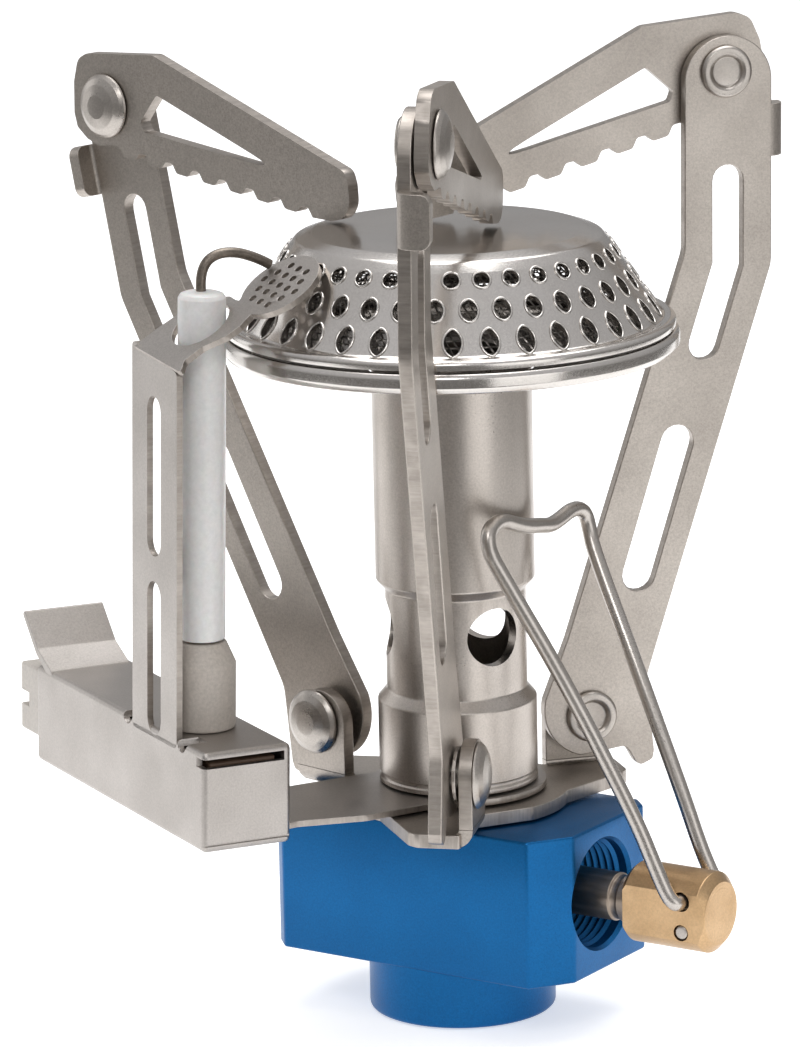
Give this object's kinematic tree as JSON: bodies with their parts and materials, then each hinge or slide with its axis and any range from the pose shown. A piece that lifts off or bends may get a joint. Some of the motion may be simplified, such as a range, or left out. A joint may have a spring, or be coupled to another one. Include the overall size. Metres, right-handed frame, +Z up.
{
  "type": "camping stove",
  "caption": "Folding gas stove that screws onto a canister: blue valve block, round drilled burner, hinged legs with toothed pot supports and a push igniter.",
  "frame": {"origin": "centre of the connector collar's lower rim, on the burner axis", "axes": "+Z up the burner axis, +X out along the valve spindle towards the knob, +Y across the valve block"},
  "size_m": [0.0977, 0.0784, 0.1213],
  "materials": {
    "satin_stainless": "tumbled satin stainless, fine grain",
    "polished_stainless": "bright polished stainless",
    "blue_anodised": "blue anodised, fine satin grain",
    "brass": "satin turned brass",
    "dark_steel": "dark steel",
    "white_ceramic": "glazed white",
    "grey_beige_plastic": "warm grey",
    "light_grey_plastic": "light grey",
    "piezo_body": "dark brown",
    "black_rubber": "black"
  },
  "bodies": {
    "stove": {"valve_body": "blue_anodised", "connector_pin": "brass", "canister_seal": "black_rubber", "gas_jet": "brass", "valve_gland": "brass", "spindle_oring": "black_rubber", "base_plate": "satin_stainless", "mixing_tube": "satin_stainless", "burner_cup": "polished_stainless", "burner_head": "polished_stainless", "flame_gauze": "dark_steel", "leg_rivet_1": "satin_stainless", "leg_rivet_2": "satin_stainless", "leg_rivet_3": "satin_stainless", "leg_washer_1": "satin_stainless", "leg_washer_2": "satin_stainless", "leg_washer_3": "satin_stainless", "igniter_housing": "satin_stainless", "piezo_unit": "piezo_body", "plunger_spring": "satin_stainless", "insulator_holder": "grey_beige_plastic", "ceramic_insulator": "white_ceramic", "electrode_wire": "dark_steel"},
    "spindle": {"valve_spindle": "dark_steel", "control_knob": "brass", "knob_pin": "satin_stainless"},
    "handle": {"valve_handle": "satin_stainless"},
    "leg_1": {"support_leg_1": "satin_stainless", "support_rivet_1": "satin_stainless"},
    "leg_2": {"support_leg_2": "satin_stainless", "support_rivet_2": "satin_stainless"},
    "leg_3": {"support_leg_3": "satin_stainless", "support_rivet_3": "satin_stainless"},
    "support_1": {"pot_support_1": "satin_stainless"},
    "support_2": {"pot_support_2": "satin_stainless"},
    "support_3": {"pot_support_3": "satin_stainless"},
    "plunger": {"igniter_plunger": "light_grey_plastic"}
  },
  "joints": [
    {"name": "leg_pivot_1", "type": "hinge", "parent": "stove", "child": "leg_1", "pos_m": [0.00925, 0.01592, 0.0345], "axis": [-0.757, 0.6534, 0], "range_deg": [0, 13.2]},
    {"name": "support_pivot_1", "type": "hinge", "parent": "leg_1", "child": "support_1", "pos_m": [0.02128, 0.02985, 0.11454], "axis": [-0.757, 0.6534, 0], "range_deg": [0, 156.5]},
    {"name": "leg_pivot_2", "type": "hinge", "parent": "stove", "child": "leg_2", "pos_m": [-0.01842, 0.00005, 0.0345], "axis": [-0.1874, -0.9823, 0], "range_deg": [-1.2, 0.6]},
    {"name": "support_pivot_2", "type": "hinge", "parent": "leg_2", "child": "support_2", "pos_m": [-0.05321, 0.00669, 0.1086], "axis": [-0.1874, -0.9823, 0], "range_deg": [0, 160]},
    {"name": "leg_pivot_3", "type": "hinge", "parent": "stove", "child": "leg_3", "pos_m": [0.00867, -0.01603, 0.0345], "axis": [0.9284, 0.3713, -0.014], "range_deg": [0, 13.2]},
    {"name": "support_pivot_3", "type": "hinge", "parent": "leg_3", "child": "support_3", "pos_m": [0.01654, -0.03269, 0.11453], "axis": [0.9284, 0.3713, -0.014], "range_deg": [0, 156.5]},
    {"name": "valve_turn", "type": "hinge", "parent": "stove", "child": "spindle", "pos_m": [0.03, 0, 0.017], "axis": [1, 0, 0], "range_deg": [-5, 7]},
    {"name": "handle_fold", "type": "hinge", "parent": "spindle", "child": "handle", "pos_m": [0.034, 0, 0.01895], "axis": [0, 1, 0], "range_deg": [0, 116]},
    {"name": "igniter_press", "type": "slide", "parent": "stove", "child": "plunger", "axis": [0.877, -0.4803, -0.0139], "range_m": [0, 0.0038], "stiffness_N_per_m": 1500, "springref_m": -0.003}
  ]
}
